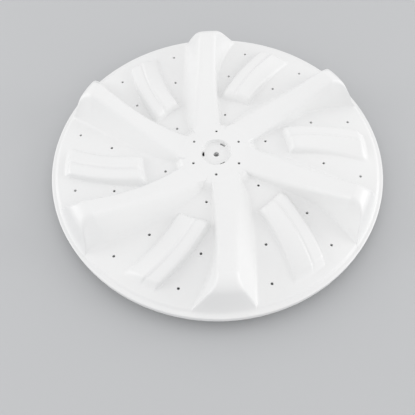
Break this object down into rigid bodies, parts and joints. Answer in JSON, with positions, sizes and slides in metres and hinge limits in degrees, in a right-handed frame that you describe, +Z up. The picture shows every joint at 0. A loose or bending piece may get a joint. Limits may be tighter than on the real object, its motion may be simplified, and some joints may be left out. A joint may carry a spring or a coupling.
{
  "type": "washing machine pulsator",
  "caption": "Round moulded washing machine pulsator: hollow blades swirl out of a domed hub, low stepped ribs lie between them, and a boss below takes the drive shaft.",
  "frame": {"origin": "centre of the boss's foot, on the disc's axis", "axes": "+Z up along the axis, from the boss towards the blades; +X and +Y lie in the plane of the rim, with a rib close to +X"},
  "size_m": [0.37, 0.37, 0.0594],
  "materials": {
    "white_plastic": "glossy moulded white"
  },
  "bodies": {
    "root": {"pulsator": "white_plastic"}
  },
  "joints": []
}
